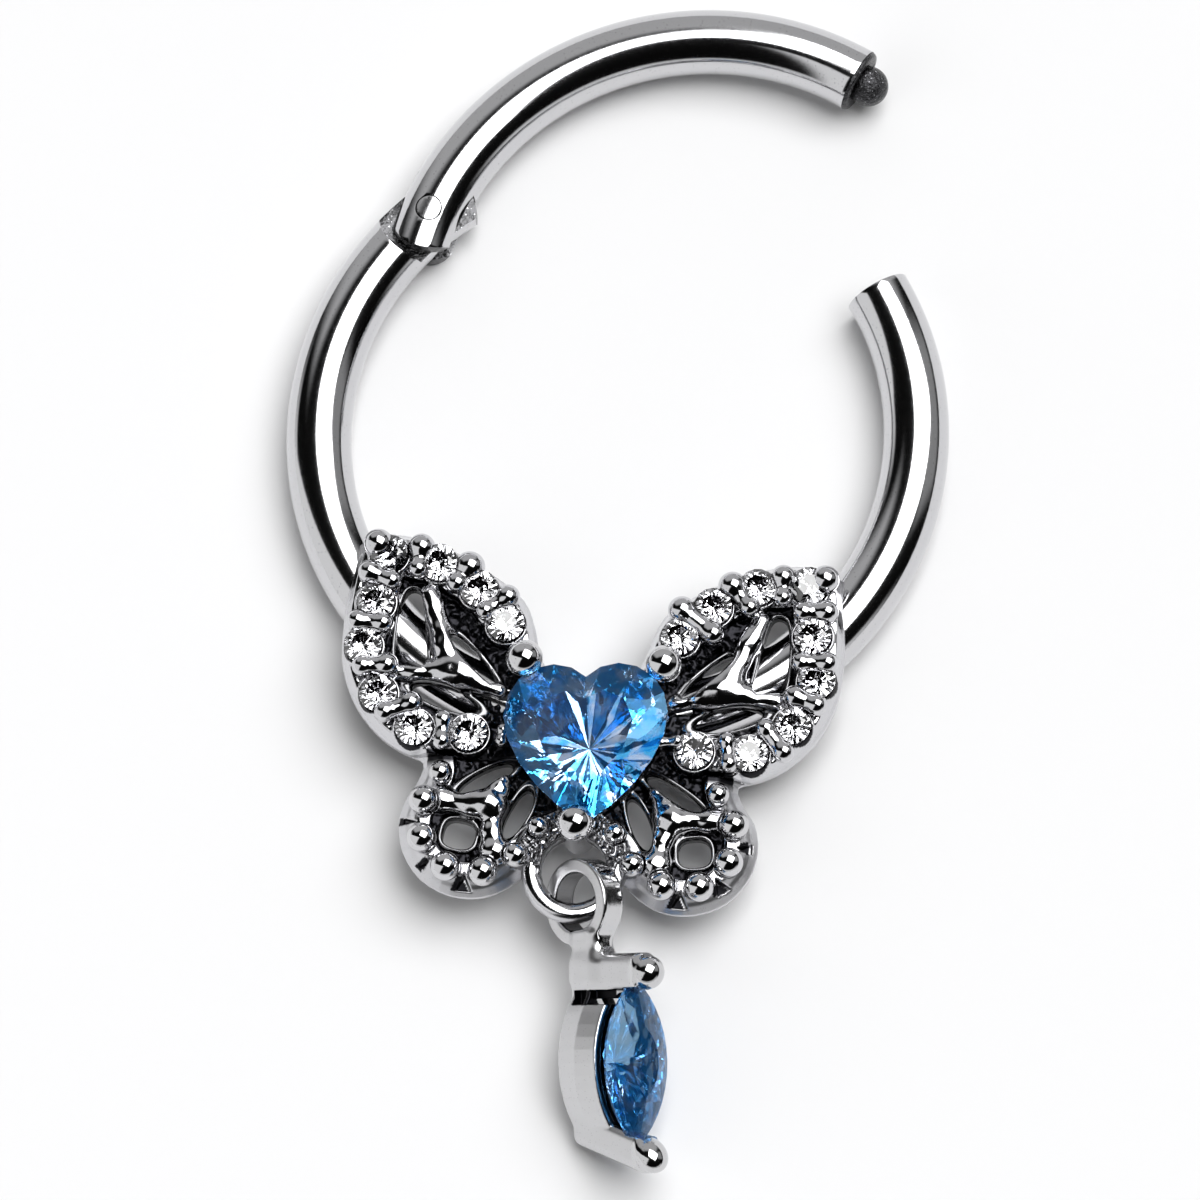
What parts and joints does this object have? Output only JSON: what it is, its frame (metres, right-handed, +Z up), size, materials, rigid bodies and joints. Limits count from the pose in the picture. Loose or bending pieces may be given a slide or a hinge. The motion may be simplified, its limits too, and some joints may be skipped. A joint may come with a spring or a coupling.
{
  "type": "segment ring",
  "caption": "Hinged piercing ring with an openwork butterfly of stones on its front arc and a marquise drop on a tail loop.",
  "frame": {"origin": "centre of the ring, on the floor that the ring lies on", "axes": "+Y along the butterfly's line of symmetry towards its head and the gate, +X across the butterfly to the side of the fixed arc's open end, +Z up out of the floor"},
  "size_m": [0.0162, 0.0294, 0.0033],
  "materials": {
    "ring_metal": "polished, darkened in the recesses",
    "drop_metal": "polished",
    "gate_metal": "polished",
    "pin_metal": "ground flush",
    "heart_blue": "faceted",
    "drop_blue": "faceted",
    "clear_stone": "faceted"
  },
  "bodies": {
    "ring": {"butterfly_ring": "ring_metal", "heart_stone": "heart_blue", "left_wing_stones": "clear_stone", "right_wing_stones": "clear_stone", "drop_frame": "drop_metal", "drop_stone": "drop_blue"},
    "gate": {"gate_arc": "gate_metal", "hinge_pin": "pin_metal"}
  },
  "joints": [
    {"name": "gate hinge", "type": "hinge", "parent": "ring", "child": "gate", "pos_m": [-0.00512, 0.00521, 0.0008], "axis": [0, 0, 1], "range_deg": [-28, 62]}
  ]
}
